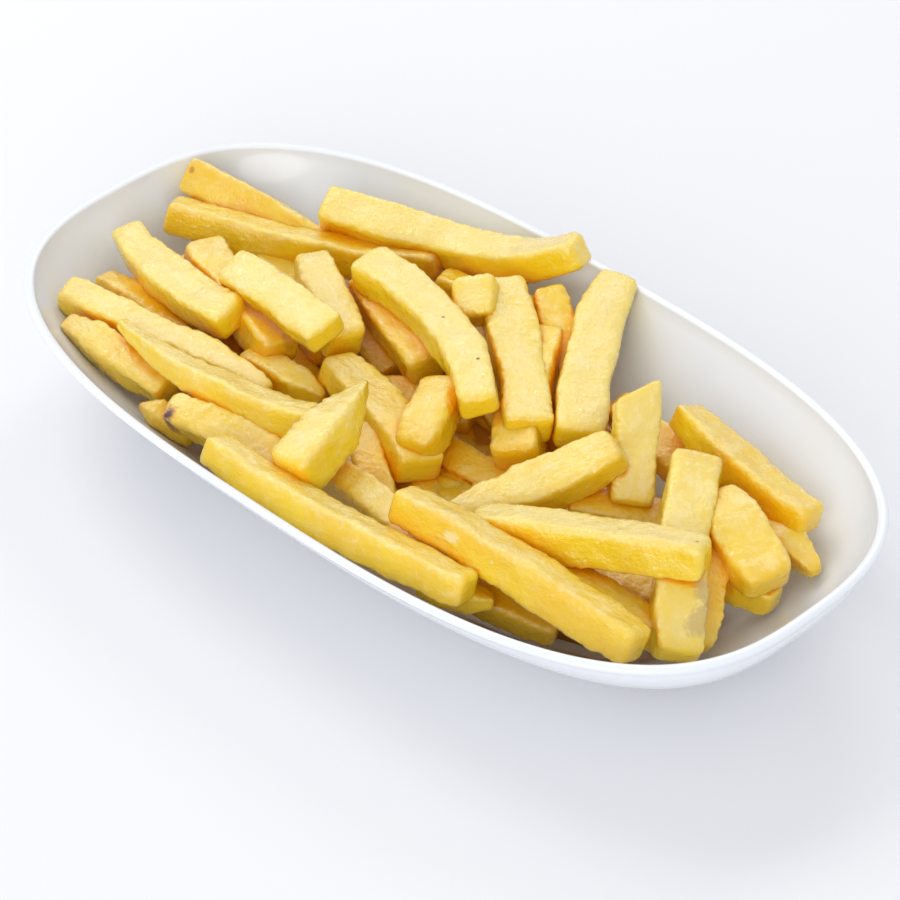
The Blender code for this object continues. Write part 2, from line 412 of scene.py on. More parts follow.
def dishTree(material):
    tree, size = makeTree("ovalDish", dishSizes)
    grid = tree.nodes.new("GeometryNodeMeshGrid")
    grid.inputs["Size X"].default_value = 1.0
    grid.inputs["Size Y"].default_value = 1.0
    tree.links.new((size["segments"] + 1).socket, grid.inputs["Vertices X"])
    tree.links.new(size["levels"].socket, grid.inputs["Vertices Y"])
    x, y, _ = position(tree).split()
    turn = (x + 0.5) * (2.0 * math.pi)
    # the section runs through six stretches, one after another; each step goes from none to full
    way = (y + 0.5) * 6.0
    underMiddle, foot, outside, lip, inside, floor = [(way - k).clamped() for k in range(6)]
    rimLength, rimWidth, rimHeight = size["rimLength"], size["rimWidth"], size["rimHeight"]

    def wall(share, length, width):
        return length * (share ** size["endCurve"]), width * (share ** size["sideCurve"])

    # middle of the underside, up in the foot, and the ring that stands on the ground
    ringLength, ringWidth = size["footLength"] - size["footRing"], size["footWidth"] - size["footRing"]
    underRow = (ringLength * underMiddle, ringWidth * underMiddle, size["footHeight"])
    ground = foot * 0.0
    footRow = (ringLength + size["footRing"] * foot, ringWidth + size["footRing"] * foot, ground)
    # outside wall, from the foot up to the underside of the lip
    lipOut = size["lipWidth"] - size["lipUndercut"]
    wallTop = rimHeight - size["lipDrop"] - size["lipUndercut"]
    outerLength, outerWidth = rimLength + lipOut, rimWidth + lipOut
    height = size["footHeight"] + (wallTop - size["footHeight"]) * outside
    inEnd, inSide = wall((rimHeight - height) / (rimHeight - size["footHeight"]),
                         outerLength - size["footLength"] - size["footDraft"],
                         outerWidth - size["footWidth"] - size["footDraft"])
    outsideRow = (outerLength - inEnd, outerWidth - inSide, height)
    # lip, a half turn from its outer face over to the inner edge
    arc = lip * math.pi
    out = size["lipWidth"] * 0.5 * (arc.math("COSINE") + 1.0)
    drop = size["lipRound"] - size["lipRound"] * arc.math("SINE")
    lipRow = (rimLength + out, rimWidth + out, rimHeight - drop)
    # inside wall, eased so that the levels crowd together towards the floor
    innerTop = rimHeight - size["lipRound"]
    height = innerTop - (innerTop - size["floorHeight"]) * (inside * (0.5 * math.pi)).math("SINE")
    inEnd, inSide = wall((rimHeight - height) / (rimHeight - size["floorHeight"]),
                         rimLength - size["floorLength"], rimWidth - size["floorWidth"])
    insideRow = (rimLength - inEnd, rimWidth - inSide, height)
    # floor, dipping gently to its middle
    rest = 1.0 - floor
    dip = size["floorDip"] * (floor * floor)
    floorRow = (size["floorLength"] * rest, size["floorWidth"] * rest, size["floorHeight"] - dip)

    # a level on the border of two stretches belongs to the first of them
    row, hair = underRow, 0.0001
    for k, nextRow in enumerate((footRow, outsideRow, lipRow, insideRow, floorRow), 1):
        past = way.math("GREATER_THAN", k + hair)
        row = tuple(a.mixedWith(b, past) for a, b in zip(row, nextRow))
    power = 2.0 / size["ovalPower"]
    place = joined(tree, row[0] * ovalSide(turn.math("COSINE"), power),
                   row[1] * ovalSide(turn.math("SINE"), power), row[2]) * mm
    geometry = moveAndWeld(tree, grid.outputs["Mesh"], place, size["weldGap"] * mm)
    finishTree(tree, geometry, material)
    return tree


def hollowShare(x, y, z, gap):
    # how far out a point lies between the dish's middle and its wall, one at the wall
    size = dishSizes
    share = min(1.0, max(0.0, (size["rimHeight"] - z) / (size["rimHeight"] - size["floorHeight"])))
    length = size["rimLength"] - (size["rimLength"] - size["floorLength"]) * share ** size["endCurve"] - gap
    width = size["rimWidth"] - (size["rimWidth"] - size["floorWidth"]) * share ** size["sideCurve"] - gap
    power = size["ovalPower"]
    return (abs(x / length) ** power + abs(y / width) ** power) ** (1.0 / power)


# each fry that shows, in millimetres: start, end, (width, thickness), (scale at start, scale at end),
# (sideways bow, sag), roll in degrees, and whatever sets it apart
# a tone above one colours a fry deeper amber; on the fries that lie low it is painted shade
fries = (
    ((-114, 20, 35), (-60, 33, 26), (8.5, 10), (1.0, 0.7), (0, 0), -38,
     {"squareness": 4.8, "tipShare": 0.9, "tone": 0.9, "toast": (0.15, 0.0)}),
    ((-108.5, 8, 32), (-40, 41, 33), (9.5, 9.5), (0.9, 0.8), (1, 4), -14,
     {"twist": 10.0, "squareness": 4.8, "tone": 0.7, "toast": (0.2, 0.8)}),
    ((-75, 32.5, 38), (-6, 58, 45), (10.5, 9.5), (0.95, 0.85), (-1, 6), 12,
     {"wave": (0.0, 1.5), "twist": -36.0, "squareness": 4.8, "tone": 0.1}),
    ((-110, -5.5, 32), (-59, -14, 34), (11, 8.5), (0.75, 1.0), (-2, 1), 10, {"tipShare": 0.5, "tone": 0.0}),
    ((-89.5, 2, 33), (-45.5, -11, 29), (11, 9), (0.9, 0.95), (0, 0), -6, {"tone": 0.9, "toast": (0.0, 0.3)}),
    ((-96, 1, 26), (-60, -3, 23), (8, 8), (0.9, 0.9), (0, 1), 5, {"tone": 1.0}),
    ((-71, -4, 40), (-32, -8, 40), (11, 7), (0.85, 1.0), (0, 0), 20, {"tone": 0.0}),
    ((-64, 17, 33), (-34.5, 1.5, 30), (10.5, 11), (0.8, 1.0), (0, -1), -5, {"tone": 0.2}),
    ((-48, 21, 38), (13, 0.5, 37), (11, 9), (1.0, 0.85), (7, -1), 4, {"squareness": 4.8, "tone": 0.1}),
    ((-50, 23, 31), (-15.5, 12.5, 27), (11, 10), (0.9, 1.0), (0, 0), 14, {"tone": 1.0, "toast": (0.1, 0.25)}),
    ((-21, 26, 38), (-12, 33, 40), (11, 9.5), (0.9, 1.0), (0, 0), 30, {"squareness": 5.5, "tone": 0.0}),
    ((-18.5, 40.5, 37), (23, 7.5, 31), (12.5, 9), (0.95, 0.95), (1, 1), -4, {"tone": 0.4}),
    ((-9, 49, 36), (11, 37, 25), (9.5, 9), (0.9, 0.9), (0, 0), 8, {"tone": 1.0}),
    ((-1.5, 39, 31), (24.5, 1.5, 26), (12, 10), (0.9, 1.0), (0, -1), 10, {"tone": 0.9}),
    ((2, 62.5, 38), (33, 15, 29), (12.5, 9.5), (0.8, 1.0), (-1, 0), -10, {"squareness": 4.8, "tone": 0.0}),
    ((-102.5, -34, 31), (-36, -24.5, 30), (9, 8), (0.85, 0.45), (0, 1), 7,
     {"tone": 0.3, "toast": (0.3, 0.3)}),
    ((-104, -20, 26), (-74, -16, 24), (8, 7), (0.9, 0.9), (0, 0), -12, {"tone": 0.9, "toast": (0.3, 0.0)}),
    ((-94.5, -40.5, 29), (-57, -39, 26), (9, 8), (0.55, 0.9), (0, 0), 15, {"tone": 0.8, "toast": (0.3, 0.0)}),
    ((-77.5, -37, 36), (-13, -31, 35), (10.5, 9), (0.3, 0.9), (-2, 1.5), -20,
     {"squareness": 5.2, "tipShare": 0.7, "tone": 0.4}),
    ((-48, -47, 30), (-12, -39, 27), (9.5, 9), (0.95, 0.9), (0, 0), 28, {"tone": 0.8}),
    ((-57.5, -49, 27), (-42, -44, 23), (7, 6), (0.2, 0.9), (0, 0), 3, {"toast": (0.9, 0.0)}),
    ((-25, -54.5, 35), (55.5, -46.5, 33), (10, 9), (0.85, 0.8), (-1, 1), -22,
     {"squareness": 4.6, "tone": 0.5}),
    ((-10, -16, 42), (-2.5, -49, 35), (12.5, 12), (0.12, 1.0), (0, -1), 18,
     {"squareness": 4.0, "tipShare": 0.5, "tone": 0.4}),
    ((-34, -4.5, 28), (9, -16, 24), (12.5, 9), (0.9, 0.9), (1, 0), -14, {"tone": 0.7}),
    ((-5.5, -33.5, 26), (34, -38, 25), (9, 8), (0.9, 0.9), (1, 0), 8, {"tone": 0.8}),
    ((-13, -14, 25), (9, -29, 19), (8, 8), (0.9, 0.9), (0, 0), 12, {"tone": 1.3}),
    ((24, -39, 38), (94.5, -30.5, 29), (11, 10), (0.85, 0.95), (0, 0), -24, {"squareness": 4.8, "tone": 0.9}),
    ((-3.5, 5.5, 33), (6, -15.5, 28), (11.5, 9.5), (0.9, 0.85), (0, -1), 10,
     {"squareness": 3.8, "tone": 0.9}),
    ((2, -2, 19), (26, 2, 17), (9, 9), (0.9, 0.9), (0, 0), 20, {"tone": 1.3}),
    ((26, -28, 28), (49, 12, 39), (12.5, 10.5), (0.3, 0.8), (0, 4), 15,
     {"squareness": 4.6, "tipShare": 0.45, "tone": 0.5, "toast": (0.0, 0.15)}),
    ((39, -29, 33), (91, -3, 37), (11, 10), (0.75, 0.95), (0, 0), -13, {"tone": 0.2}),
    ((66, 22, 39), (98, -21, 22), (12.5, 9), (0.95, 0.85), (0, 0), -8, {"tone": 0.4, "toast": (0.35, 0.1)}),
    ((83, 10, 28), (96, -11, 17), (9, 8), (0.9, 0.6), (0, 0), -20, {"tone": 1.0}),
    ((74, 18, 34), (100.5, 9.5, 27), (14, 10), (0.7, 0.85), (0, 0), 8, {"tone": 0.8}),
    ((84, 9, 21), (100, 12, 19), (8, 7), (0.9, 0.9), (0, 0), -10, {"tone": 0.8}),
    ((66, 32, 27), (103, 23, 24), (9, 8), (0.9, 0.4), (0, 0), 12, {"tone": 0.9, "toast": (0.0, 0.2)}),
    ((47.5, 37, 34), (95, 31, 30), (10.5, 9), (0.85, 0.85), (-1, 0), -18, {"squareness": 4.8, "tone": 1.1}),
    ((27, 35, 26), (78, 27, 21), (9, 8), (0.9, 0.9), (0, 0), 10, {"tone": 1.3}),
    ((40, 28, 42), (56, 8, 26), (10.5, 7), (0.95, 1.0), (0, 0), -16,
     {"slantStart": (-0.7, 0.0), "tone": 0.1}),
    ((44, 0, 25), (66, 17, 21), (9, 8), (0.9, 0.9), (0, 0), 14, {"tone": 1.3}),
    ((61, -24, 28), (90, -15, 20), (9, 8), (0.9, 0.9), (0, 0), -9, {"tone": 0.8}),
    ((60, -8, 18), (84, -1, 16), (9, 8), (0.9, 0.9), (0, 0), 11, {"tone": 1.4}),
    ((40, -47, 27), (56, -39, 25), (7, 6), (0.9, 0.4), (0, 0), -3, {}),
    ((41, -37, 20), (67, -28, 16), (8, 8), (0.9, 0.9), (0, 0), 13, {"tone": 1.2}),
    ((-53.5, -16.5, 27), (-28.5, -12.5, 25), (8, 7), (0.9, 0.35), (0, 0), -8,
     {"tone": 0.6, "toast": (0.0, 0.4)}),
    ((-54, 22, 21), (-30, 13, 17), (8, 8), (0.9, 0.9), (0, 0), 16, {"tone": 1.4}),
    ((-36, 36, 31), (-2, 44, 29), (9, 8), (0.9, 0.9), (0, 0), -12, {"tone": 1.2}),
    ((-30, 2, 19), (-2, 14, 18), (9, 8), (0.9, 0.9), (0, 0), 9, {"tone": 1.4}),
)

# what every fry starts from: corners, faces that sink between the edges, cut ends and unevenness;
# lengths in millimetres, noise as waves per metre and detail; a twist or tone of None is drawn at random
fryCut = {
    "squareness": 4.8,
    "hollow": 0.04,
    "tipShare": 0.3,
    "twist": None,
    "randomTwist": 10.0,
    "slantStart": (0.0, 0.0),
    "slantEnd": (0.0, 0.0),
    "wave": (0.0, 0.0),
    "swell": 1.06,
    "lumps": 1.5,
    "lumpNoise": (58.0, 1.0),
    "dents": 0.34,
    "dentNoise": (210.0, 2.0),
    "blisters": 0.36,
    "blisterNoise": (480.0, 2.0),
    "blisterSpread": (0.6, 1.5),     # on the faces, and what the edges add
    "ridgePower": 3.0,
    "stray": 1.3,
    "wallGap": 0.3,
    "tone": None,
    "toast": (0.0, 0.0),
    "toastAll": 0.0,
    "toastShare": 0.16,
    "longFrom": 44.0,
    "taperedUnder": 0.6,
    "stations": 84,
    "across": 13,
    "weldGap": 0.001,
}


def noiseArrow(tree, place, scale, detail):
    # three-way noise about zero
    return (Arrow(tree, noise(tree, place.socket, scale, detail).outputs["Color"]) - (0.5, 0.5, 0.5)) * 2.0


def fryTree(material):
    cut = {name: fryCut[name] for name in (
        "squareness", "hollow", "tipShare", "lumps", "dents", "blisters", "stations", "across")}
    tree, size = makeTree("fry", {
        "start": (0.0, 0.0, 0.0), "end": (60.0, 0.0, 0.0), "width": 9.0, "thickness": 9.0,
        "startScale": 1.0, "endScale": 1.0, "bow": 0.0, "sag": 0.0, "roll": 0.0, "twist": 0.0,
        "slantStart": (0.0, 0.0, 0.0), "slantEnd": (0.0, 0.0, 0.0), "wave": (0.0, 0.0, 0.0),
        "tone": 0.5, "toast": (0.0, 0.0, 0.0), "seed": (0.0, 0.0, 0.0), **cut})
    box = tree.nodes.new("GeometryNodeMeshCube")
    box.inputs["Size"].default_value = (2.0, 2.0, 2.0)
    tree.links.new(size["stations"].socket, box.inputs["Vertices X"])
    tree.links.new(size["across"].socket, box.inputs["Vertices Y"])
    tree.links.new(size["across"].socket, box.inputs["Vertices Z"])
    s, u, v = position(tree).split()
    chord = size["end"] - size["start"]
    length = chord.length()
    halfLength, halfWidth, halfThick = length * 0.5, size["width"] * 0.5, size["thickness"] * 0.5
    capLength = halfThick.math("MINIMUM", halfWidth)
    # corners and ends rounded alike: the box is drawn in to a squarish egg over each end's last stretch
    inner = abs(s) * halfLength
    capShare = ((inner - halfLength + capLength) / capLength).clamped()
    power = size["squareness"]
    drawn = ((abs(u) ** power) + (abs(v) ** power) + (capShare ** power)) ** (-1.0 / power)
    axial = s.math("SIGN") * (inner.math("MINIMUM", halfLength - capLength) + capShare * drawn * capLength)
    # faces sink between the edges
    across = u * drawn * ((v * v - 1.0) * size["hollow"] + 1.0)
    up = v * drawn * ((u * u - 1.0) * size["hollow"] + 1.0)
    # tips narrow over a share of the length
    share = (axial / length) + 0.5
    fromStart = (share / size["tipShare"]).clamped()
    fromEnd = ((1.0 - share) / size["tipShare"]).clamped()
    scaleStart = size["startScale"] + (1.0 - size["startScale"]) * fromStart
    scaleEnd = size["endScale"] + (1.0 - size["endScale"]) * fromEnd
    scale = scaleStart.math("MINIMUM", scaleEnd)
    across, up = across * scale * halfWidth, up * scale * halfThick
    # slanted cuts shift an end along the fry
    slantReach = capLength * 2.0
    nearStart = (1.0 - share * length / slantReach).clamped()
    nearEnd = (1.0 - (1.0 - share) * length / slantReach).clamped()
    startU, startV, _ = size["slantStart"].split()
    endU, endV, _ = size["slantEnd"].split()
    axial = axial + (across * startU + up * startV) * nearStart + (across * endU + up * endV) * nearEnd
    share = (axial / length) + 0.5
    place = joined(tree, axial, across, up) * mm + size["seed"]
    # unevenness: lumps, dents and blisters, each a push along the section and a little along the fry
    lump = noiseArrow(tree, place, *fryCut["lumpNoise"]) * size["lumps"]
    dent = noiseArrow(tree, place, *fryCut["dentNoise"]) * size["dents"]
    onFaces, onEdges = fryCut["blisterSpread"]
    nearEdge = abs(u * v)
    ridge = nearEdge ** fryCut["ridgePower"]
    blister = noiseArrow(tree, place, *fryCut["blisterNoise"])
    blister = blister * (size["blisters"] * (ridge * onEdges + onFaces))
    pushX, pushY, pushZ = (lump + dent + blister).split()
    axial, across, up = axial + pushX, across + pushY, up + pushZ
    # the bent centre line and the square to it
    arch = (share * 4.0) * (1.0 - share)
    lean = (1.0 - share * 2.0) * 4.0
    fullTurn = share * (2.0 * math.pi)
    swing = fullTurn.math("SINE")
    swingLean = fullTurn.math("COSINE") * (2.0 * math.pi)
    waveSide, waveUp, _ = size["wave"].split()
    along = chord.unit()
    zAxis = joined(tree, 0.0, 0.0, 1.0)
    side = zAxis.cross(along).unit()
    rise = along.cross(side)
    sideways = size["bow"] * arch + waveSide * swing
    upwards = waveUp * swing - size["sag"] * arch
    tangent = (chord + side * (size["bow"] * lean + waveSide * swingLean)
               + rise * (waveUp * swingLean - size["sag"] * lean)).unit()
    centre = size["start"] + chord * share + side * sideways + rise * upwards
    sideHere = zAxis.cross(tangent).unit()
    riseHere = tangent.cross(sideHere)
    turn = (size["roll"] + size["twist"] * (share - 0.5)) * (math.pi / 180.0)
    cosine, sine = turn.math("COSINE"), turn.math("SINE")
    sideTurned = sideHere * cosine + riseHere * sine
    riseTurned = riseHere * cosine - sideHere * sine
    spot = (centre + sideTurned * across + riseTurned * up) * mm
    # what the finish reads: its place along the fry, edges, cut ends, tone, and browning towards the ends
    toastStart, toastEnd, toastAll = size["toast"].split()
    startToast = (1.0 - share / fryCut["toastShare"]).clamped() * toastStart
    endToast = (1.0 - (1.0 - share) / fryCut["toastShare"]).clamped() * toastEnd
    geometry = storeAttribute(tree, box.outputs["Mesh"], "fryPlace", place, "FLOAT_VECTOR")
    geometry = storeAttribute(tree, geometry, "edge", nearEdge)
    geometry = storeAttribute(tree, geometry, "cutEnd", capShare)
    geometry = storeAttribute(tree, geometry, "tone", size["tone"])
    geometry = storeAttribute(tree, geometry, "toast", startToast + endToast + toastAll)
    geometry = moveAndWeld(tree, geometry, spot, fryCut["weldGap"] * mm)
    # how far each face looks up, which the finish uses to paint sheen on the tops
    facing = Arrow(tree, tree.nodes.new("GeometryNodeInputNormal").outputs[0]).split()[2]
    geometry = storeAttribute(tree, geometry, "upward", facing)
    finishTree(tree, geometry, material)
    return tree


def makeFry(tree, fry, number, **changes):
    start, end, section, scales, bends, roll, own = fry
    look = {**fryCut, **own, **changes}
    dice = random.Random(number)
    tone = look["tone"] if look["tone"] is not None else dice.uniform(0.0, 1.0)
    bow = bends[0] + dice.uniform(-1.0, 1.0) * look["stray"]
    most = look["randomTwist"]
    twist = look["twist"] if look["twist"] is not None else dice.uniform(-most, most)
    values = {
        "start": [float(c) for c in start], "end": [float(c) for c in end],
        "width": section[0] * look["swell"], "thickness": section[1] * look["swell"],
        "startScale": float(scales[0]), "endScale": float(scales[1]),
        "bow": bow, "sag": float(bends[1]), "roll": float(roll), "twist": twist,
        "slantStart": [*look["slantStart"], 0.0], "slantEnd": [*look["slantEnd"], 0.0],
        "wave": [*look["wave"], 0.0], "toast": [*look["toast"], look["toastAll"]], "tone": tone,
        "seed": [dice.uniform(-1.0, 1.0) for _ in range(3)],
    }
    for name in ("squareness", "hollow", "tipShare", "lumps", "dents", "blisters", "stations", "across"):
        values[name] = look[name]
    return runTree(f"fry{number}", tree, values)


def kindOf(fry):
    start, end, _, scales, *_ = fry
    if min(scales) <= fryCut["taperedUnder"]:
        return "taperedFries"
    return "longFries" if math.dist(start, end) > fryCut["longFrom"] else "shortFries"


def pressIn(mesh):
    # a fry that would stand in the wall is flattened against it
    for vertex in mesh.vertices:
        x, y, z = (c / mm for c in vertex.co)
        out = hollowShare(x, y, z, fryCut["wallGap"])
        if z < dishSizes["rimHeight"] and out > 1.0:
            vertex.co.x /= out
            vertex.co.y /= out


# the layer under the fries that show, in millimetres and degrees
lowerFries = {
    "tries": 700,
    "seed": 11,
    "length": (34.0, 62.0),
    "section": (8.5, 11.0),
    "scales": (0.9, 0.9),
    "area": (95.0, 48.0),
    "turn": 0.6,               # usual turn from the dish's length, in radians
    "roll": 20.0,
    "tilt": 3.0,
    "under": 7.0,              # from a centre line above to the one below it
    "reach": 7.5,
    "highest": 27.0,
    "lowest": 9.5,
    "apart": 6.5,
    "stepsAbove": 8,           # points tried along a fry above, and along one of this layer
    "stepsBelow": 6,
    "halfSection": 4.0,
    "wallGap": 5.0,
    # deeper amber and browned all over: painted shade, as this layer lies under the fries that show
    "tone": 1.7,
    "toast": 0.25,
    "stations": 34,
    "across": 7,
}


def pointsBetween(start, end, steps):
    return [start.lerp(end, k / steps) for k in range(steps + 1)]


def lowerLayer():
    # fries laid at random under the ones that show, each as high as those above leave room for
    low = lowerFries
    dice = random.Random(low["seed"])
    above = [p for fry in fries for p in pointsBetween(Vector(fry[0]), Vector(fry[1]), low["stepsAbove"])]
    halfLong, halfWide = low["area"]
    found = []
    for _ in range(low["tries"]):
        length = dice.uniform(*low["length"])
        turn = dice.gauss(0.0, low["turn"])
        middle = Vector((dice.uniform(-halfLong, halfLong), dice.uniform(-halfWide, halfWide)))
        half = Vector((math.cos(turn), math.sin(turn))) * length / 2.0
        section = [dice.uniform(*low["section"]) for _ in range(2)]
        roll, tilt = dice.uniform(-low["roll"], low["roll"]), dice.uniform(-low["tilt"], low["tilt"])
        points = pointsBetween(middle - half, middle + half, low["stepsBelow"])
        room = [p.z - low["under"] for q in points for p in above if (p.xy - q).length < low["reach"]]
        if not room:
            continue
        height = min(min(room), low["highest"])
        ends = [(points[0].x, points[0].y, height - abs(tilt) + tilt),
                (points[-1].x, points[-1].y, height - abs(tilt) - tilt)]
        if not all(z > low["lowest"] and hollowShare(x, y, z - low["halfSection"], low["wallGap"]) < 1.0
                   for x, y, z in ends):
            continue
        centre = (middle.x, middle.y, height)
        if any(math.dist(centre, other) < low["apart"] for _, other in found):
            continue
        found.append(((*ends, section, low["scales"], (0.0, 0.0), roll, {}), centre))
    return [fry for fry, _ in found]


# rays that find how closely other potato stands round a point, in millimetres
shelterRays = {"reach": 16.0, "lift": 0.5, "forward": 1.1}


def markShelter(meshes):
    # how closely other potato stands around each point, from short rays over its own face; the finish paints
    # shade where it is high
    corners, faces = [], []
    for mesh in meshes:
        first = len(corners)
        corners.extend(v.co.copy() for v in mesh.vertices)
        faces.extend([first + k for k in face.vertices] for face in mesh.polygons)
    tree = BVHTree.FromPolygons(corners, faces)
    reach, lift = shelterRays["reach"] * mm, shelterRays["lift"] * mm
    spread = [Vector((x, y, z)).normalized() for x in (-1, 1) for y in (-1, 1) for z in (-1, 1)]
    for mesh in meshes:
        values = []
        for vertex in mesh.vertices:
            start = vertex.co + vertex.normal * lift
            total = 0.0
            for way in spread:
                distance = tree.ray_cast(start, vertex.normal * shelterRays["forward"] + way, reach)[3]
                if distance is not None:
                    total += 1.0 - distance / reach
            values.append(total / len(spread))
        mesh.attributes.new("shelter", "FLOAT", "POINT").data.foreach_set("value", values)


def joinMeshes(name, meshes):
    bm = bmesh.new()
    for mesh in meshes:
        bm.from_mesh(mesh)
    joinedMesh = bpy.data.meshes.new(name)
    bm.to_mesh(joinedMesh)
    bm.free()
    joinedMesh.materials.append(meshes[0].materials[0])
    for mesh in meshes:
        bpy.data.meshes.remove(mesh)
    return joinedMesh


# fried potato: colours; noise as waves per metre, detail, roughness and distortion; then how strongly
# each layer covers the ones before it
potato = {
    "golden": (0.90, 0.64, 0.014, 1.0),
    "amber": (0.87, 0.55, 0.008, 1.0),
    # the orange of the painted shade where other potato stands close
    "deep": (0.92, 0.40, 0.002, 1.0),
    # cream is painted sheen on the faces that look up
    "cream": (0.90, 0.69, 0.19, 1.0),
    "chalk": (0.95, 0.83, 0.50, 1.0),
    "toasted": (0.55, 0.21, 0.02, 1.0),
    "burnt": (0.085, 0.020, 0.004, 1.0),
    "skin": (0.52, 0.37, 0.16, 1.0),
    "drawnOut": (0.65, 1.0, 1.0),    # the broader patterns are stretched along the fry
    "broad": (110.0, 3.0, 0.55),
    "patch": (300.0, 4.0, 0.68, 0.3),
    "fine": (900.0, 4.0, 0.65),
    "grain": (2600.0, 2.0, 0.5),
    "spotScale": 330.0,
    "edgeClear": 0.6,                # how far the cream keeps off the edges and the cut ends
    "endClear": 0.55,
    "dryAndTopSheenCover": 0.40,
    "spotCover": 0.26,
    "rimShare": 0.6,
    "creviceShadeCover": 0.9,
    "subsurface": 0.3,
    "subsurfaceRadius": (0.0022, 0.0016, 0.0004),
    "roughness": (0.17, 0.50),
    "bumpStrength": 0.7,
    "bumpDepth": 0.0009,
    "coat": 0.8,
    "coatRoughness": 0.13,
}

# what each mask of the finish adds up, and the values between which it goes from none to full;
# a swing is a pattern about zero
masks = {
    "drift": ({"broad": 0.7, "tone": 0.3}, (0.42, 0.66)),
    # painted sheen on faces that look up, less where others stand close
    "pale": ({"upward": 0.8, "patch": 0.9, "shelter": -0.8, "tone": -0.52}, (0.48, 1.05)),
    "dryPatch": ({"patch": 1.0, "fineSwing": 0.2}, (0.48, 0.66)),
    # faces that look up and stand clear; the dry patches keep to them and so carry painted sheen as well
    "openAbove": ({"upward": 0.55, "tone": -0.26, "shelter": -0.9}, (-0.24, 0.76)),
    "spotShape": ({"near": 1.0, "fineSwing": 0.5, "chanceSwing": 0.3}, (0.36, 0.14)),
    "spotChance": ({"chance": 1.0, "broad": 1.0}, (1.15, 1.25)),
    "rim": ({"edge": 1.0, "fineSwing": 0.9}, (0.62, 0.98)),
    # painted shade, strongest where other potato stands closest
    "creviceShade": ({"shelter": 1.0, "broadSwing": 0.3, "tone": 0.06}, (0.22, 0.70)),
    "browned": ({"patch": 1.0, "toast": 0.3}, (0.40, 0.75)),
}

# the same without limits: ragged outlines of the marks, dullness, and the relief of the crust
sums = {
    "ragged": {"fineSwing": 1.1, "patchSwing": 0.8},
    "dull": {"dryAndTopSheen": 0.8, "fine": 0.2},
    "relief": {"fine": 0.45, "grain": 0.05, "patch": 0.6, "spot": 0.25},
}

# burns and blemishes: place and radii in millimetres, what they are, how strong
marks = (
    ((-44.6, -50.4, 29.5), (2.6, 2.6, 7.5), "toasted", 0.75),
    ((-44.2, -50.8, 30.0), (1.3, 1.8, 5.0), "burnt", 1.0),
    ((-42.6, -50.6, 27.0), (1.2, 1.5, 2.0), "burnt", 0.9),
    ((-110.8, 18.9, 38.8), (0.9, 0.9, 0.9), "toasted", 0.8),
    ((-45.0, -8.6, 32.2), (2.2, 2.2, 3.5), "toasted", 0.6),
    ((52.0, -48.5, 29.0), (2.6, 1.5, 1.5), "burnt", 0.6),
    ((43.8, -41.3, 38.8), (2.4, 1.8, 1.8), "chalk", 0.7),
    ((94.5, -5.5, 30.5), (4.5, 3.5, 6.5), "skin", 0.6),
    ((97.5, -11.0, 27.0), (3.0, 6.0, 6.0), "skin", 0.6),
    ((66.0, 24.0, 43.0), (1.6, 0.9, 0.8), "burnt", 0.8),
    ((-14.1, 15.3, 42.7), (0.5, 0.5, 0.5), "burnt", 0.9),
    ((3.7, 9.5, 42.5), (0.5, 0.5, 0.5), "burnt", 0.9),
    ((12.2, 9.7, 35.3), (0.6, 0.6, 0.6), "burnt", 1.0),
    ((-1.5, -43.2, 44.0), (0.45, 0.45, 0.45), "burnt", 0.9),
    ((33.6, -38.7, 42.7), (0.5, 0.5, 0.5), "burnt", 0.8),
    ((88.5, -4.3, 42.0), (0.5, 0.5, 0.5), "burnt", 0.8),
)
markFade = (1.15, 0.7)               # distance in radii at which a mark begins, and is full


def blotchGroup():
    # mask of a soft-edged blotch: one at its middle, none outside its radii
    group = bpy.data.node_groups.new("blotch", "ShaderNodeTree")
    for label in ("Where", "Place", "Radii"):
        group.interface.new_socket(label, in_out="INPUT", socket_type="NodeSocketVector")
    group.interface.new_socket("Ragged", in_out="INPUT", socket_type="NodeSocketFloat")
    group.interface.new_socket("Mask", in_out="OUTPUT", socket_type="NodeSocketFloat")
    given = group.nodes.new("NodeGroupInput")
    where, place, radii = (Arrow(group, given.outputs[label]) for label in ("Where", "Place", "Radii"))
    reach = ((where - place) / radii).length()
    mask = between(reach + Value(group, given.outputs["Ragged"]), *markFade)
    out = group.nodes.new("NodeGroupOutput")
    group.links.new(mask.socket, out.inputs["Mask"])
    return group


def blotch(tree, group, where, place, radii, ragged):
    node = tree.nodes.new("ShaderNodeGroup")
    node.node_tree = group
    connect(tree, where, node.inputs["Where"])
    connect(tree, ragged, node.inputs["Ragged"])
    node.inputs["Place"].default_value = place
    node.inputs["Radii"].default_value = radii
    return Value(tree, node.outputs["Mask"])


def weighted(patterns, weights):
    total = None
    for name, weight in weights.items():
        part = patterns[name] if weight == 1.0 else patterns[name] * weight
        total = part if total is None else total + part
    return total


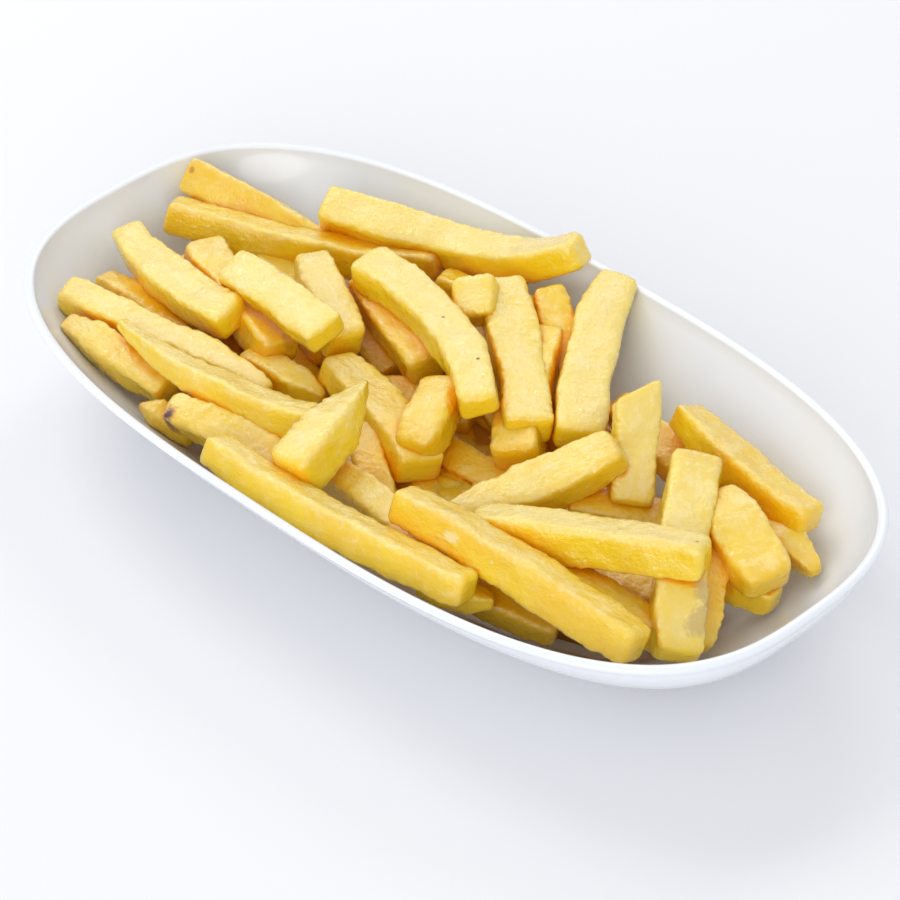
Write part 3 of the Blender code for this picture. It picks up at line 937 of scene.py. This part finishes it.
def potatoFinish():
    material, tree, shader = makeMaterial("friedPotato")
    place = attribute(tree, "fryPlace").outputs["Vector"]
    drawnOut = tree.nodes.new("ShaderNodeMapping")
    drawnOut.inputs["Scale"].default_value = potato["drawnOut"]
    tree.links.new(place, drawnOut.inputs["Vector"])
    patterns = {name: Value(tree, attribute(tree, name).outputs["Fac"])
                for name in ("tone", "toast", "edge", "cutEnd", "upward", "shelter")}
    for name, along in (("broad", drawnOut.outputs[0]), ("patch", drawnOut.outputs[0]),
                        ("fine", place), ("grain", place)):
        patterns[name] = Value(tree, noise(tree, along, *potato[name]).outputs[0])
    cells = tree.nodes.new("ShaderNodeTexVoronoi")
    cells.inputs["Scale"].default_value = potato["spotScale"]
    tree.links.new(place, cells.inputs["Vector"])
    patterns["near"] = Value(tree, cells.outputs["Distance"])
    patterns["chance"] = Arrow(tree, cells.outputs["Color"]).split()[0]
    for name in ("broad", "patch", "fine", "chance"):
        patterns[name + "Swing"] = patterns[name] - 0.5
    mask = {name: between(weighted(patterns, weights), *limits) for name, (weights, limits) in masks.items()}

    def cover(colour, kind, share):
        return mixColour(tree, share.socket, colour, potato[kind])

    # golden all over, amber in broad drifts; cream on faces that look up and stand clear is painted sheen,
    # kept off the edges and cut ends so that they stay golden as painted light shining through; chalky in
    # small patches, dry crust that keeps to open top faces and so is partly painted sheen
    edge = patterns["edge"]
    inward = (1.0 - edge * edge * potato["edgeClear"]) * (1.0 - patterns["cutEnd"] * potato["endClear"])
    patterns["dryAndTopSheen"] = mask["dryPatch"] * mask["openAbove"]
    colour = mixColour(tree, mask["drift"].socket, potato["golden"], potato["amber"])
    colour = cover(colour, "cream", mask["pale"] * inward)
    colour = cover(colour, "chalk", patterns["dryAndTopSheen"] * potato["dryAndTopSheenCover"])
    # small dry spots, and a dry crumbly line along the cut edges
    patterns["spot"] = mask["spotShape"] * mask["spotChance"]
    crumbly = patterns["spot"].math("MAXIMUM", mask["rim"] * potato["rimShare"])
    colour = cover(colour, "chalk", crumbly * potato["spotCover"])
    # painted shade, deeper orange where others stand close; brown towards the toasted ends, then the single
    # marks
    colour = cover(colour, "deep", mask["creviceShade"] * potato["creviceShadeCover"])
    colour = cover(colour, "toasted", (patterns["toast"] * mask["browned"]).clamped())
    where = Arrow(tree, objectPlace(tree)) * (1.0 / mm)
    ragged = weighted(patterns, sums["ragged"])
    group = blotchGroup()
    for middle, radii, kind, strength in marks:
        colour = cover(colour, kind, blotch(tree, group, where, middle, radii, ragged) * strength)
    tree.links.new(colour, shader.inputs["Base Color"])

    rough = tree.nodes.new("ShaderNodeMapRange")
    rough.inputs["To Min"].default_value, rough.inputs["To Max"].default_value = potato["roughness"]
    tree.links.new(weighted(patterns, sums["dull"]).socket, rough.inputs["Value"])
    tree.links.new(rough.outputs[0], shader.inputs["Roughness"])
    relief = weighted(patterns, sums["relief"]).socket
    normal = bumpNormal(tree, relief, potato["bumpStrength"], potato["bumpDepth"])
    tree.links.new(normal, shader.inputs["Normal"])
    tree.links.new(normal, shader.inputs["Coat Normal"])
    shader.inputs["Subsurface Weight"].default_value = potato["subsurface"]
    shader.inputs["Subsurface Radius"].default_value = potato["subsurfaceRadius"]
    shader.inputs["Subsurface Scale"].default_value = 1.0
    shader.inputs["Coat Weight"].default_value = potato["coat"]
    shader.inputs["Coat Roughness"].default_value = potato["coatRoughness"]
    return material


# the mound under the layers, in millimetres; its noise as waves per metre and detail
core = {
    "lookFrom": 200.0,
    "under": 19.0,
    "highest": 15.0,
    "inset": 3.0,
    "overFloor": 1.0,
    "baseLift": 0.3,
    "rings": 20,
    "segments": 72,
    # dark orange-brown all over: painted shade for the potato deep in the heap
    "dark": (0.45, 0.17, 0.006, 1.0),
    "light": (0.62, 0.27, 0.012, 1.0),
    "noise": (120.0, 3.0),
    "roughness": 0.6,
}


def coreFinish():
    material, tree, shader = makeMaterial("deepPotatoPaintedShade")
    clouds = noise(tree, objectPlace(tree), *core["noise"]).outputs[0]
    tree.links.new(mixColour(tree, clouds, core["dark"], core["light"]), shader.inputs["Base Color"])
    shader.inputs["Roughness"].default_value = core["roughness"]
    return material


def heapSurface():
    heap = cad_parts["fries_heap"]
    return BVHTree.FromPolygons([v.co for v in heap.data.vertices], [p.vertices for p in heap.data.polygons])


def heapHeight(surface, x, y):
    # height of the heap's top at a place, in millimetres
    start = Vector((x * mm, y * mm, core["lookFrom"] * mm))
    hit = surface.ray_cast(start, Vector((0.0, 0.0, -1.0)))[0]
    return hit.z / mm if hit else 0.0


def coreMesh(surface, material):
    # a low mound under the layers, so that no bare glaze shows between them, coloured dark as painted shade
    bm = bmesh.new()
    rows = []
    floorHeight = dishSizes["floorHeight"]
    halfLong, halfWide = dishSizes["floorLength"] - core["inset"], dishSizes["floorWidth"] - core["inset"]
    power = 2.0 / dishSizes["ovalPower"]
    for ring in range(core["rings"], 0, -1):
        row = []
        for k in range(core["segments"]):
            turn = 2.0 * math.pi * k / core["segments"]
            c, s = math.cos(turn), math.sin(turn)
            x = math.copysign(abs(c) ** power, c) * halfLong * ring / core["rings"]
            y = math.copysign(abs(s) ** power, s) * halfWide * ring / core["rings"]
            top = min(core["highest"], heapHeight(surface, x, y) - core["under"])
            top = max(floorHeight + core["overFloor"], top)
            row.append(bm.verts.new((x * mm, y * mm, top * mm)))
        rows.append(row)
    base = [bm.verts.new((v.co.x, v.co.y, (floorHeight + core["baseLift"]) * mm)) for v in rows[0]]
    rows.insert(0, base)
    for lower, upper in zip(rows, rows[1:]):
        for k in range(core["segments"]):
            n = (k + 1) % core["segments"]
            bm.faces.new((lower[k], lower[n], upper[n], upper[k]))
    bm.faces.new(rows[0][::-1])
    bm.faces.new(rows[-1])
    for face in bm.faces:
        face.smooth = True
    mesh = bpy.data.meshes.new("friesCore")
    bm.to_mesh(mesh)
    bm.free()
    mesh.materials.append(material)
    return mesh


makeCamera(bpy.context.scene)
makeLights(bpy.context.scene)
makeFloor(bpy.context.scene)
print("studio ready")

dishMesh = runTree("ovalDish", dishTree(glazeFinish()), {})
addPiece("ovalDish", dishMesh, "dish")
print("dish made")

fryShape = fryTree(potatoFinish())
topMeshes = [makeFry(fryShape, fry, k) for k, fry in enumerate(fries)]
below = {"tone": lowerFries["tone"], "toastAll": lowerFries["toast"],
         "stations": lowerFries["stations"], "across": lowerFries["across"]}
lowerMeshes = [makeFry(fryShape, fry, k, **below) for k, fry in enumerate(lowerLayer(), 100)]
for mesh in topMeshes + lowerMeshes:
    pressIn(mesh)
markShelter(topMeshes + lowerMeshes)
kinds = {"longFries": [], "shortFries": [], "taperedFries": [], "friesBelow": lowerMeshes}
for fry, mesh in zip(fries, topMeshes):
    kinds[kindOf(fry)].append(mesh)
for name, meshes in kinds.items():
    addPiece(name, joinMeshes(name, meshes), "fries_heap")
print("fries made")

addPiece("friesCore", coreMesh(heapSurface(), coreFinish()), "fries_heap")
print("core made")
